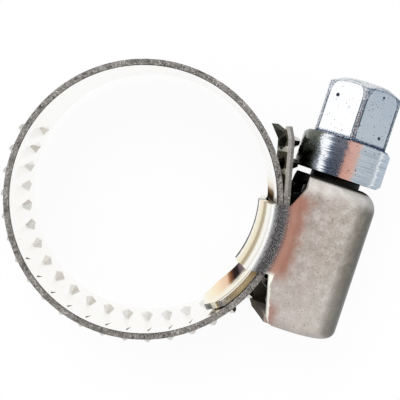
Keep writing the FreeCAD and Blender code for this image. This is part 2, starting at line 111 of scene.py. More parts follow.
class Net:
    """Node tree built step by step."""

    def __init__(self, tree):
        self.tree = tree

    def node(self, kind, **values):
        made = self.tree.nodes.new(kind)
        for key, value in values.items():
            setattr(made, key, value)
        return made

    def feed(self, value, socket):
        """Link an output, or set a plain value."""
        if isinstance(value, bpy.types.NodeSocket):
            self.tree.links.new(value, socket)
        else:
            socket.default_value = value

    def math(self, operation, *values):
        made = self.node("ShaderNodeMath", operation=operation)
        for value, socket in zip(values, made.inputs):
            self.feed(value, socket)
        return made.outputs[0]

    def plus(self, first, second):
        return self.math("ADD", first, second)

    def minus(self, first, second):
        return self.math("SUBTRACT", first, second)

    def times(self, first, second):
        return self.math("MULTIPLY", first, second)

    def absolute(self, value):
        return self.math("ABSOLUTE", value)

    def every(self, *masks):
        """Product of masks, and of a plain share that weakens them."""
        product = masks[0]
        for mask in masks[1:]:
            product = self.times(product, mask)
        return product

    def either(self, *masks):
        """Highest of masks."""
        highest = masks[0]
        for mask in masks[1:]:
            highest = self.math("MAXIMUM", highest, mask)
        return highest

    def outside(self, mask):
        return self.minus(1.0, mask)

    def step(self, value, zero, one):
        """Mask that is 0 past zero and 1 past one, smooth between; one may be the smaller."""
        made = self.node("ShaderNodeMapRange", interpolation_type="SMOOTHSTEP")
        self.feed(value, made.inputs["Value"])
        made.inputs["From Min"].default_value = min(zero, one)
        made.inputs["From Max"].default_value = max(zero, one)
        made.inputs["To Min"].default_value = 0.0 if zero < one else 1.0
        made.inputs["To Max"].default_value = 1.0 if zero < one else 0.0
        return made.outputs[0]

    def vector(self, operation, first, second=None, scale=None):
        made = self.node("ShaderNodeVectorMath", operation=operation)
        self.feed(first, made.inputs[0])
        if second is not None:
            self.feed(second, made.inputs[1])
        if scale is not None:
            self.feed(scale, made.inputs["Scale"])
        return made.outputs["Value" if operation in ("DOT_PRODUCT", "DISTANCE") else "Vector"]

    def unit(self, way):
        return self.vector("NORMALIZE", way)

    def join(self, x, y, z):
        made = self.node("ShaderNodeCombineXYZ")
        for value, socket in zip((x, y, z), made.inputs):
            self.feed(value, socket)
        return made.outputs[0]

    def split(self, value):
        made = self.node("ShaderNodeSeparateXYZ")
        self.feed(value, made.inputs[0])
        return made.outputs

    def ramp(self, value, stops):
        """Colours at rising places; a stop is (place, (r, g, b))."""
        made = self.node("ShaderNodeValToRGB")
        self.feed(value, made.inputs[0])
        elements = made.color_ramp.elements
        while len(elements) < len(stops):
            elements.new(1.0)
        for element, (place, colour) in zip(elements, stops):
            element.position = place
            element.color = (*colour, 1)
        return made.outputs[0]

    def mix(self, share, first, second):
        """Colour between two colours."""
        made = self.node("ShaderNodeMix", data_type="RGBA")
        self.feed(share, made.inputs["Factor"])
        for value, socket in ((first, made.inputs[6]), (second, made.inputs[7])):
            self.feed(value if isinstance(value, bpy.types.NodeSocket) else (*value, 1), socket)
        return made.outputs[2]

    def blend(self, share, first, second):
        """Number between two numbers."""
        made = self.node("ShaderNodeMix", data_type="FLOAT")
        self.feed(share, made.inputs["Factor"])
        self.feed(first, made.inputs[2])
        self.feed(second, made.inputs[3])
        return made.outputs[0]

    def mix_way(self, share, first, second):
        """Unit direction between two directions."""
        made = self.node("ShaderNodeMix", data_type="VECTOR")
        self.feed(share, made.inputs["Factor"])
        self.feed(first, made.inputs[4])
        self.feed(second, made.inputs[5])
        return self.unit(made.outputs[1])


class Look(Net):
    """Material whose coordinates are millimetres of the part's frame."""

    def __init__(self, name):
        self.material = bpy.data.materials.new(name)
        self.material.use_nodes = True
        super().__init__(self.material.node_tree)
        self.shader = self.tree.nodes["Principled BSDF"]
        place = self.node("ShaderNodeTexCoord")
        self.normal = place.outputs["Normal"]
        self.place = self.vector("SCALE", place.outputs["Object"], scale=1 / MM)
        self.x, self.y, self.z = self.split(self.place)
        self.dull = None

    def noise(self, scale, detail, place=None, rough=0.55):
        made = self.node("ShaderNodeTexNoise")
        self.feed(self.place if place is None else place, made.inputs["Vector"])
        made.inputs["Scale"].default_value = scale
        made.inputs["Detail"].default_value = detail
        made.inputs["Roughness"].default_value = rough
        return made.outputs[0]

    def centred(self, noise, size):
        """Noise moved to lie about zero, times a size."""
        return self.times(self.minus(noise, 0.5), size)

    def around(self, centre_y):
        """Angle in degrees about a line along Z through (0, centre_y), from +X."""
        angle = self.math("ARCTAN2", self.minus(self.y, centre_y), self.x)
        return self.times(angle, math.degrees(1))

    def radius(self, centre_y):
        """Distance from that line."""
        return self.vector("DISTANCE", self.join(self.x, self.y, 0.0), (0.0, centre_y, 0.0))

    def bump(self, height, depth, strength=1.0, normal=None):
        """Normal from a height of 0 to 1 that stands for depth millimetres."""
        made = self.node("ShaderNodeBump")
        self.feed(strength, made.inputs["Strength"])
        made.inputs["Distance"].default_value = depth * MM
        self.feed(height, made.inputs["Height"])
        if normal is not None:
            self.feed(normal, made.inputs["Normal"])
        return made.outputs[0]

    def deaden(self, mask):
        """Take the gloss away where mask is 1."""
        self.dull = mask if self.dull is None else self.either(self.dull, mask)

    def finish(self, colour, roughness, normal, metallic):
        """Feed the shader; dull places have no gloss."""
        if self.dull is not None:
            bright = self.outside(self.dull)
            metallic = self.times(metallic, bright)
            roughness = self.either(roughness, self.dull)
            self.feed(self.times(bright, 0.5), self.shader.inputs["Specular IOR Level"])
        self.feed(colour, self.shader.inputs["Base Color"])
        self.feed(roughness, self.shader.inputs["Roughness"])
        self.feed(normal, self.shader.inputs["Normal"])
        self.feed(metallic, self.shader.inputs["Metallic"])


class Band(Look):
    """Bright rolled strip with speckled grey cut edges and heat tints by the strap."""

    BRIGHT_FACE = ((0.3, (0.955, 0.945, 0.915)), (0.7, (0.995, 0.99, 0.975)))
    OUTER_FACE = ((0.3, (0.50, 0.485, 0.46)), (0.7, (0.63, 0.615, 0.59)))
    EDGE = ((0.36, (0.025, 0.023, 0.02)), (0.44, (0.19, 0.185, 0.17)), (0.52, (0.31, 0.30, 0.28)),
            (0.59, (0.40, 0.39, 0.365)), (0.66, (0.85, 0.84, 0.80)))
    PARTING = (0.04, 0.035, 0.03)
    # Painted shade at the near ends of the ring's hollows
    HOLLOW_SHADE = (0.10, 0.095, 0.07)
    PRONG = ((0.4, (0.035, 0.033, 0.028)), (0.6, (0.10, 0.095, 0.08)))

    # Noises: scale in each millimetre and detail, and the stretch of the rolled streaks
    SPECK_NOISE = (9.0, 2.0)
    CLOUD_NOISE = (1.1, 4.0)
    STREAK_NOISE = (1.0, 4.0)
    STREAKS_A_DEGREE = 0.06
    STREAKS_ACROSS = 7.0

    # Relief in millimetres, roughness and metal
    STREAK_DEPTH = 0.006
    CUT_DEPTH = 0.06
    CUT_STRENGTH = 0.6
    FACE_ROUGHNESS = (0.14, 0.32)
    CUT_ROUGHNESS = 0.62
    CUT_METALLIC = 0.45

    # Painted shade at the near ends of the hollows of the ring's lower side
    HOLLOW_SHADE_SIZE = (-0.03, -0.055)
    HOLLOW_SHADE_TAPER = 0.117
    HOLLOW_SHADE_Z = (2.5, 2.8)
    HOLLOW_SHADE_Y = (-7.0, -9.0)

    # Heat tints: from the tongue's end to the strap, where the black is painted shadow of the gap under the
    # strap's leg, and past the strap's other side
    TINT_AND_SHADOW_FROM_DEG = 50.0
    HEAT_TINT_AND_SHADOW = ((0.04, (0.98, 0.95, 0.86)), (0.16, (0.97, 0.86, 0.62)), (0.25, (0.93, 0.70, 0.38)),
            (0.36, (0.75, 0.40, 0.15)), (0.41, (0.22, 0.09, 0.04)), (0.45, (0.03, 0.02, 0.02)),
            (0.50, (0.03, 0.02, 0.02)), (0.55, (0.30, 0.22, 0.25)))
    GLOW_TO_DEG = 40.0
    GLOW = ((0.38, (0.05, 0.03, 0.015)), (0.46, (0.35, 0.20, 0.08)), (0.54, (0.85, 0.68, 0.40)),
            (0.66, (0.97, 0.92, 0.80)))
    STRAW = (0.93, 0.86, 0.68)
    STRAW_LINE = (0.36, 0.25, 0.10)
    GOLD_EDGE = (0.44, 0.33, 0.15)
    TONGUE_LAYER = (12.7, 12.5)
    TONGUE_FROM_DEG = (-47.0, -42.0)
    TONGUE_TO_DEG = (-12.0, -16.0)
    STRAW_Z = (3.9, 3.5)
    WARM_Z = (3.8, 1.0)
    WARM_WAVE = 2.0
    # From this angle towards the strap the tint has no gloss; its black there is painted shadow
    GAP_SHADOW_DEG = (-33.0, -29.0)
    LINE_FROM_Z = (3.5, 3.7)
    LINE_TO_Z = (4.2, 4.0)
    GOLD_DEG = (-40.0, -27.0)
    GOLD_SHARE = 0.8
    GLOW_START_DEG = (12.0, 13.5)
    GLOW_FADE_DEG = (30.0, 15.0)
    GLOW_Z = (3.6, 1.0)
    GLOW_LAYER = (12.9, 12.6)
    GLOW_DULL_DEG = (20.0, 16.5)

    # The tail's side towards the ring: walls and the dark cells' floor in painted shade, and the light bars
    # between them;
    # a bar starts and ends at shares of the ridges' pitch
    CELL_WALL_SHADE = (0.10, 0.085, 0.055)
    CELL_BAR = (0.86, 0.82, 0.70)
    CELL_FLOOR_SHADE = (0.012, 0.011, 0.009)
    BAR_START = (0.58, 0.64)
    BAR_END = (0.90, 0.82)
    CELL_OUT = (TAIL_INNER + 0.04, TAIL_INNER + 0.12)
    CELL_DULL = 0.8

    # The tail's near edge: a painted lit lane towards the ring and a painted shaded one
    LANE_LIT = (0.50, 0.48, 0.44)
    LANE_SHADED = (0.19, 0.18, 0.165)
    LANE_OUT = (TAIL_INNER + 0.28, TAIL_INNER + 0.36)
    LANE_Z = (1.8, 2.2)
    LANE_Y = (4.4, 5.2)
    LANE_SHARE = 0.65

    # Dark joint between the layers, and the shaded far prong
    PARTING_OUTER = (12.60, 12.55)
    PARTING_INNER = (12.4, 12.48)
    PARTING_SHARE = 0.7
    PRONG_Y = (8.3, 8.9)
    PRONG_Z = (1.0, 0.3)
    PRONG_SHARE = 0.9

    # Which surface it is: distance from the mid-plane, places of the ends, and the way that it faces
    LONG_EDGE = (3.75, 3.9)
    TAIL_SIDE = (TAIL_INNER - 0.07, TAIL_INNER - 0.03)
    TAIL_START_Y = (3.4, 3.9)
    TAIL_END_Y = (9.6, 9.9)
    TONGUE_END_DEG = (-41.5, -42.5)
    FIXED_LAYER = (12.5, 12.4)
    ACROSS = (0.36, 0.28)
    INWARD = (0.15, -0.15)
    OUTWARD = (0.2, 0.4)

    # Flattened shading of the ring's inside, where the hollows slope up or down
    SLOPE = (0.12, 0.3)
    SLOPE_LEAN = (0, 0, 0.75)
    RING_FACE = (13.4, 13.3)
    FLATTENING = 3.0

    def __init__(self):
        super().__init__("band_steel")
        self.ring = self.radius(0)
        self.seat_deg = self.around(SEAT_Y)
        self.speck = self.noise(*self.SPECK_NOISE)
        self.cloud = self.noise(*self.CLOUD_NOISE)
        rolled = self.join(self.times(self.seat_deg, self.STREAKS_A_DEGREE),
                           self.times(self.z, self.STREAKS_ACROSS), self.ring)
        self.streak = self.noise(*self.STREAK_NOISE, rolled)
        self.find_tail()
        self.find_sides()
        self.tongue = self.every(self.step(self.ring, *self.TONGUE_LAYER),
                                 self.step(self.seat_deg, *self.TONGUE_FROM_DEG),
                                 self.step(self.seat_deg, *self.TONGUE_TO_DEG))
        face = self.ramp(self.streak, self.BRIGHT_FACE)
        face = self.hollow_ends_shaded(face)
        face = self.tongue_tinted(face)
        face = self.strap_glow(face)
        face = self.tail_inside_shade(face)
        face = self.mix(self.step(self.facing, *self.OUTWARD), face, self.ramp(self.streak, self.OUTER_FACE))
        colour = self.mix(self.cut, face, self.edge_colour())
        colour = self.prong_shaded(colour)
        roughness = self.blend(self.cut, self.blend(self.streak, *self.FACE_ROUGHNESS), self.CUT_ROUGHNESS)
        self.finish(colour, roughness, self.relief(), self.blend(self.cut, 1.0, self.CUT_METALLIC))

    def find_tail(self):
        """The straight free tail with its bent far prong, and distances out to it and along it."""
        turn = math.radians(TAIL_OUT_DEG)
        self.tail_way = (math.cos(turn), math.sin(turn), 0)
        self.out = self.vector("DOT_PRODUCT", self.place, self.tail_way)
        self.along = self.vector("DOT_PRODUCT", self.place, (-math.sin(turn), math.cos(turn), 0))
        bent = self.times(self.either(self.minus(self.along, FAR_PRONG_FROM), 0.0), FAR_PRONG_SLOPE)
        self.on_tail = self.every(self.step(self.plus(self.out, bent), *self.TAIL_SIDE),
                                  self.step(self.y, *self.TAIL_START_Y))
        self.off_tail = self.outside(self.on_tail)

    def find_sides(self):
        """Cut edges and inner face; facing is 1 where the strip faces out of the ring."""
        self.spoke = self.unit(self.join(self.x, self.y, 0.0))
        outward = self.vector("ADD", self.vector("SCALE", self.tail_way, scale=self.on_tail),
                              self.vector("SCALE", self.spoke, scale=self.off_tail))
        self.facing = self.vector("DOT_PRODUCT", self.normal, outward)
        long_edge = self.step(self.absolute(self.z), *self.LONG_EDGE)
        tail_end = self.every(self.on_tail, self.step(self.y, *self.TAIL_END_Y))
        tongue_end = self.every(self.step(self.seat_deg, *self.TONGUE_END_DEG),
                                self.step(self.ring, *self.FIXED_LAYER))
        self.cut = self.every(self.step(self.absolute(self.facing), *self.ACROSS),
                              self.either(long_edge, tail_end, tongue_end))
        self.inner = self.every(self.step(self.facing, *self.INWARD), self.outside(self.cut))
        self.ring_inside = self.every(self.inner, self.off_tail)

    def hollow_ends_shaded(self, face):
        """Painted shade as small dark wedges on the near edge, one at the near end of each hollow of the
        ring's lower side.
        """
        turns = self.times(self.minus(self.around(0.0), HOLLOW_SHADE_DEG), 1 / HOLLOW_SHADE_STEP_DEG)
        beat = self.absolute(self.minus(self.math("FRACT", turns), 0.5))
        wedge = self.minus(self.times(self.z, self.HOLLOW_SHADE_TAPER), beat)
        hollow_shade = self.every(self.ring_inside, self.step(wedge, *self.HOLLOW_SHADE_SIZE),
                          self.step(self.z, *self.HOLLOW_SHADE_Z), self.step(self.y, *self.HOLLOW_SHADE_Y))
        self.deaden(hollow_shade)
        return self.mix(hollow_shade, face, self.HOLLOW_SHADE)

    def tongue_tinted(self, face):
        """Straw to brown heat tint where the tongue was welded, then painted black shadow of the gap under
        the strap's leg, with a brown line along its near edge.
        """
        face = self.mix(self.every(self.tongue, self.step(self.z, *self.STRAW_Z)), face, self.STRAW)
        wavy = self.plus(self.z, self.times(self.cloud, self.WARM_WAVE))
        warm = self.every(self.tongue, self.step(wavy, *self.WARM_Z))
        place = self.times(self.plus(self.seat_deg, self.TINT_AND_SHADOW_FROM_DEG), 1 / self.TINT_AND_SHADOW_FROM_DEG)
        face = self.mix(warm, face, self.ramp(place, self.HEAT_TINT_AND_SHADOW))
        self.deaden(self.every(warm, self.step(self.seat_deg, *self.GAP_SHADOW_DEG)))
        line = self.every(self.tongue, self.step(self.z, *self.LINE_FROM_Z),
                          self.step(self.z, *self.LINE_TO_Z))
        return self.mix(line, face, self.STRAW_LINE)

    def strap_glow(self, face):
        """Brown tint on the ring's inside, just past the strap's upper side."""
        glow = self.every(self.step(self.seat_deg, *self.GLOW_START_DEG),
                          self.step(self.seat_deg, *self.GLOW_FADE_DEG),
                          self.step(self.z, *self.GLOW_Z), self.step(self.ring, *self.GLOW_LAYER))
        self.deaden(self.every(glow, self.step(self.seat_deg, *self.GLOW_DULL_DEG)))
        return self.mix(glow, face, self.ramp(self.times(self.seat_deg, 1 / self.GLOW_TO_DEG), self.GLOW))

    def tail_inside_shade(self, face):
        """Painted shade: dark cells between light ridge feet, on the tail's side towards the ring."""
        side = self.every(self.on_tail, self.inner)
        turn = self.math("FRACT", self.times(self.minus(self.along, RIDGE_PHASE), 1 / RIDGE_PITCH))
        bar = self.every(self.step(turn, *self.BAR_START), self.step(turn, *self.BAR_END))
        below = self.mix(bar, self.CELL_WALL_SHADE, self.CELL_BAR)
        below = self.mix(self.step(self.out, *self.CELL_OUT), below, self.CELL_FLOOR_SHADE)
        self.deaden(self.every(side, self.CELL_DULL))
        return self.mix(side, face, below)

    def edge_colour(self):
        """Speckled grey, dark where the layers part, painted lit and shaded lanes on the tail, gold on the
        tongue.
        """
        edge = self.ramp(self.blend(0.3, self.speck, self.cloud), self.EDGE)
        parting = self.every(self.step(self.ring, *self.PARTING_OUTER),
                             self.step(self.ring, *self.PARTING_INNER), self.PARTING_SHARE)
        edge = self.mix(parting, edge, self.PARTING)
        lane = self.mix(self.step(self.out, *self.LANE_OUT), self.LANE_LIT, self.LANE_SHADED)
        tail = self.every(self.on_tail, self.step(self.z, *self.LANE_Z), self.step(self.y, *self.LANE_Y),
                          self.LANE_SHARE)
        edge = self.mix(tail, edge, lane)
        gold = self.every(self.tongue, self.step(self.seat_deg, *self.GOLD_DEG), self.GOLD_SHARE)
        return self.mix(gold, edge, self.GOLD_EDGE)

    def prong_shaded(self, colour):
        """The far prong lies in the shade of the near one."""
        prong = self.every(self.on_tail, self.step(self.y, *self.PRONG_Y), self.step(self.z, *self.PRONG_Z))
        self.deaden(prong)
        return self.mix(self.times(prong, self.PRONG_SHARE), colour, self.ramp(self.speck, self.PRONG))

    def relief(self):
        """Rolled streaks on flattened hollows, and torn grain on the cut edges."""
        rise = self.split(self.normal)[2]
        slope = self.every(self.ring_inside, self.step(self.absolute(rise), *self.SLOPE),
                           self.math("SIGN", rise))
        lean = self.vector("SCALE", self.SLOPE_LEAN, scale=slope)
        smooth = self.unit(self.vector("SUBTRACT", lean, self.spoke))
        smooth = self.vector("SCALE", smooth, scale=self.FLATTENING)
        where = self.every(self.ring_inside, self.step(self.ring, *self.RING_FACE))
        flat = self.unit(self.vector("ADD", self.normal, self.vector("SCALE", smooth, scale=where)))
        fine = self.bump(self.streak, self.STREAK_DEPTH, normal=flat)
        torn = self.times(self.blend(0.5, self.speck, self.cloud), self.cut)
        return self.bump(torn, self.CUT_DEPTH, self.CUT_STRENGTH, fine)


class Housing(Look):
    """Satin drawn sheet, mottled warm grey, with a polished strap and painted dark shade inside."""

    SATIN = ((0.36, (0.35, 0.30, 0.265)), (0.50, (0.46, 0.405, 0.365)), (0.62, (0.58, 0.535, 0.50)))
    REAR_SATIN = (0.62, 0.58, 0.55)
    GRIT = (0.20, 0.16, 0.135)
    BLUSH = (0.36, 0.155, 0.105)
    # Painted highlight on the front shoulder's brow
    BROW_HIGHLIGHT = (0.84, 0.815, 0.76)
    BURR = (0.90, 0.88, 0.80)

    # Painted light and shade of the rounded side: factors on the satin's colour, from a face that looks up to
    # one that looks along +X
    ROUND_SIDE_SHADING = ((0.0, WHITE), (0.30, (1.12, 1.12, 1.10)), (0.52, (1.15, 1.16, 1.13)),
                  (0.66, (0.60, 0.59, 0.52)), (0.84, (0.32, 0.31, 0.26)), (0.97, (0.70, 0.70, 0.65)))

    # The strap's bands over its depth, and the dark grain of its neck, where it meets the cover
    STRAP = ((0.45, (0.90, 0.88, 0.80)), (0.50, (0.04, 0.035, 0.025)), (0.535, (0.05, 0.04, 0.03)),
             (0.555, (0.97, 0.96, 0.90)), (0.62, (0.90, 0.83, 0.64)), (0.71, (0.84, 0.74, 0.52)),
             (0.755, (0.36, 0.27, 0.13)), (0.82, (0.44, 0.34, 0.18)), (0.87, (0.93, 0.90, 0.80)),
             (0.96, (0.98, 0.97, 0.94)))
    STRAP_DEPTH = 11
    STRAP_START = (5.2, 5.8)
    NECK = ((0.38, (0.03, 0.031, 0.035)), (0.58, (0.13, 0.13, 0.135)), (0.68, (0.60, 0.60, 0.59)))

    # Inside of the cover in painted shade, brown where the rear stands open; its far lip and its front face,
    # also in painted shade
    SHADE_UNDER_COVER = (0.02, 0.018, 0.015)
    REAR_INSIDE = (0.78, 0.69, 0.60)
    LIP = (0.17, 0.15, 0.125)
    FRONT = (0.015, 0.014, 0.012)

    # Noises: scale in each millimetre and detail, and how far one shifts a border in millimetres
    MOTTLE_NOISE = (1.1, 6.0)
    MOTTLE_ROUGH = 0.62
    GRAIN_NOISE = (5.0, 3.0)
    GRIT_NOISE = (7.0, 2.0)
    STAIN_NOISE = (0.8, 3.0)
    STAIN_WAVE = 1.8
    SHEAR_NOISE = (2.2, 3.0)
    SHEAR_WAVE = 0.4
    NECK_EDGE_NOISE = (3.0, 3.0)
    NECK_EDGE_WAVE = 0.5
    NECK_NOISE = (13.0, 2.0)

    # Relief in millimetres, roughness and metal
    SATIN_ROUGHNESS = (0.34, 0.5)
    STRAP_ROUGHNESS = (0.24, 0.36)
    SATIN_METALLIC = 0.45
    SHEET_DEPTH = 0.03
    SHEET_STRENGTH = 0.5
    GRAIN_DEPTH = 0.05
    GRAIN_STRENGTH = 0.8
    GRAIN_OFF_NECK = 0.25

    # Strap, its neck and its dull border: distances from the seat's axis
    STRAP_OUTER = (13.75, 13.05)
    NECK_INNER = (12.1, 12.75)
    NECK_DULL = 0.5
    BORDER_INNER = (12.8, 13.1)
    BORDER_OUTER = (14.4, 14.0)

    # Heights and places of the stains, and of the painted highlight on the brow
    ON_TOP = (4.4, 5.2)
    TOP_EDGE = (4.8, 5.0)
    BELOW_TOP = (4.9, 4.6)
    REAR_FADE_Y = (1.0, -6.0)
    REAR_FADE_SHARE = 0.45
    PITTED = (0.36, 0.30)
    LEFT_X = (16.4, 14.9)
    LEFT_FROM_Y = (5.6, 4.6)
    LEFT_TO_Y = (-3.6, -2.0)
    LOW_X = (16.4, 15.1)
    LOW_Y = (-4.6, -5.8)
    LOW_SHARE = 0.8
    REAR_Y = (-7.0, -7.7)
    REAR_SHARE = 0.35
    BLUSH_SHARE = 0.85
    BROW_Y = (5.2, 6.2)
    BROW_OUT = (0.0, 0.5)
    BROW_SHARES = (0.2, 0.7)
    BURR_X = (13.79, 13.70)
    BURR_Y = (-2.4, -2.9)
    BURR_Z = (4.9, 5.1)

    # Places of the inside, the far lip, the rear plate, and the front with its corner
    FACING_CORE = (0.05, -0.05)
    INSIDE_X = (13.0, 13.3)
    REAR_OPEN_Y = (-2.0, -4.5)
    LIP_Z = (-3.0, -3.6)
    LIP_Y = (-2.4, -3.2)
    LIP_UPWARD = (-0.75, -0.6)
    LIP_X = (16.0, 15.0)
    PLATE_Y = (-6.2, -6.6)
    PLATE_X = (15.2, 14.8)
    PLATE_ACROSS = (-0.2, -0.4)
    FRONT_FORWARD = (0.80, 0.92)
    FRONT_Y = (5.0, 5.4)
    FRONT_X = (13.2, 13.6)
    CORNER_Y = (4.6, 5.0)
    CORNER_X = (15.0, 14.6)
    CORNER_SEAT = (13.8, 14.2)

    def __init__(self):
        super().__init__("housing_steel")
        self.mottle = self.noise(*self.MOTTLE_NOISE, rough=self.MOTTLE_ROUGH)
        self.grain = self.noise(*self.GRAIN_NOISE)
        self.grit = self.noise(*self.GRIT_NOISE)
        self.seat = self.radius(SEAT_Y)
        self.across, self.forward, self.upward = self.split(self.normal)
        core = self.vector("SUBTRACT", self.place, HOUSING_CORE)
        self.out = self.vector("DOT_PRODUCT", self.normal, core)

        strap = self.step(self.seat, *self.STRAP_OUTER)
        ragged = self.plus(self.seat, self.times(self.noise(*self.NECK_EDGE_NOISE), self.NECK_EDGE_WAVE))
        self.neck = self.every(self.step(ragged, *self.NECK_INNER), self.step(self.z, *self.TOP_EDGE))
        colour = self.mix(strap, self.satin(), self.strap_colour())
        colour = self.shaded_inside(colour)
        colour = self.shaded_rear(colour)
        colour = self.shaded_front(colour)
        border = self.every(self.step(self.seat, *self.BORDER_INNER),
                            self.step(self.seat, *self.BORDER_OUTER), self.step(self.z, *self.TOP_EDGE))
        self.deaden(border)
        self.deaden(self.times(self.neck, self.NECK_DULL))
        roughness = self.blend(strap, self.blend(self.mottle, *self.SATIN_ROUGHNESS),
                               self.blend(self.grain, *self.STRAP_ROUGHNESS))
        self.finish(colour, roughness, self.relief(), self.blend(strap, self.SATIN_METALLIC, 1.0))

    def satin(self):
        """Mottled sheet, lighter to the rear and pitted, with its tints, painted light and shade on its
        rounded side, and a painted highlight on the brow.
        """
        satin = self.ramp(self.blend(0.35, self.mottle, self.grain), self.SATIN)
        rear = self.times(self.step(self.y, *self.REAR_FADE_Y), self.REAR_FADE_SHARE)
        satin = self.mix(rear, satin, self.REAR_SATIN)
        satin = self.mix(self.step(self.grit, *self.PITTED), satin, self.GRIT)
        satin = self.mix(self.times(self.blush(), self.BLUSH_SHARE), satin, self.BLUSH)
        satin = self.vector("MULTIPLY", satin, self.ramp(self.across, self.ROUND_SIDE_SHADING))
        brow_highlight = self.every(self.step(self.y, *self.BROW_Y), self.step(self.out, *self.BROW_OUT),
                          self.blend(self.mottle, *self.BROW_SHARES))
        satin = self.mix(brow_highlight, satin, self.BROW_HIGHLIGHT)
        return self.mix(self.burr(), satin, self.BURR)

    def blush(self):
        """Reddish stain along the left side of the top, at its lower corner and on the rear."""
        wave = self.plus(self.x, self.times(self.noise(*self.STAIN_NOISE), self.STAIN_WAVE))
        left = self.every(self.step(wave, *self.LEFT_X), self.step(self.z, *self.ON_TOP),
                          self.step(self.y, *self.LEFT_FROM_Y), self.step(self.y, *self.LEFT_TO_Y))
        low = self.every(self.step(wave, *self.LOW_X), self.step(self.z, *self.ON_TOP),
                         self.step(self.y, *self.LOW_Y), self.LOW_SHARE)
        rear = self.every(self.step(self.y, *self.REAR_Y), self.REAR_SHARE)
        return self.either(left, low, rear)

    def burr(self):
        """Light torn line along the shear cut of the near wall, slanted at the rear."""
        behind = self.math("MINIMUM", self.minus(self.y, REAR_CUT_Y), 0.0)
        slant = self.times(behind, math.tan(math.radians(REAR_CUT_DEG)))
        wave = self.times(self.noise(*self.SHEAR_NOISE), self.SHEAR_WAVE)
        shear = self.plus(self.plus(self.x, slant), wave)
        return self.every(self.step(shear, *self.BURR_X), self.step(self.y, *self.BURR_Y),
                          self.step(self.z, *self.BURR_Z))

    def strap_colour(self):
        """Polished bands that follow the strap round the band's edge, with a dark grainy neck."""
        depth = self.times(self.plus(self.z, self.blend(self.grain, *self.STRAP_START)), 1 / self.STRAP_DEPTH)
        bands = self.ramp(depth, self.STRAP)
        return self.mix(self.neck, bands, self.ramp(self.noise(*self.NECK_NOISE), self.NECK))

    def shaded_inside(self, colour):
        """Painted black shade under the cover, brown where the rear stands open."""
        inside = self.every(self.step(self.out, *self.FACING_CORE), self.step(self.x, *self.INSIDE_X))
        self.deaden(inside)
        deep = self.mix(self.step(self.y, *self.REAR_OPEN_Y), self.SHADE_UNDER_COVER, self.REAR_INSIDE)
        return self.mix(inside, colour, deep)

    def shaded_rear(self, colour):
        """Dark far lip and left edge of the rear plate."""
        lip = self.every(self.step(self.z, *self.LIP_Z), self.step(self.y, *self.LIP_Y),
                         self.step(self.upward, *self.LIP_UPWARD), self.step(self.x, *self.LIP_X))
        plate = self.every(self.step(self.y, *self.PLATE_Y), self.step(self.x, *self.PLATE_X),
                           self.step(self.across, *self.PLATE_ACROSS), self.step(self.z, *self.BELOW_TOP))
        rear = self.either(lip, plate)
        self.deaden(rear)
        return self.mix(rear, colour, self.LIP)

    def shaded_front(self, colour):
        """Black front face behind the collar, and its corner beside the tail."""
        face = self.every(self.step(self.forward, *self.FRONT_FORWARD), self.step(self.y, *self.FRONT_Y),
                          self.step(self.x, *self.FRONT_X))
        corner = self.every(self.step(self.y, *self.CORNER_Y), self.step(self.x, *self.CORNER_X),
                            self.step(self.z, *self.BELOW_TOP), self.step(self.seat, *self.CORNER_SEAT))
        front = self.either(face, corner)
        self.deaden(front)
        return self.mix(front, colour, self.FRONT)

    def relief(self):
        """Uneven sheet under a grain that is strongest on the strap's neck."""
        sheet = self.bump(self.blend(0.4, self.mottle, self.grit), self.SHEET_DEPTH, self.SHEET_STRENGTH)
        grain = self.times(self.grain, self.either(self.neck, self.GRAIN_OFF_NECK))
        return self.bump(grain, self.GRAIN_DEPTH, self.GRAIN_STRENGTH, sheet)


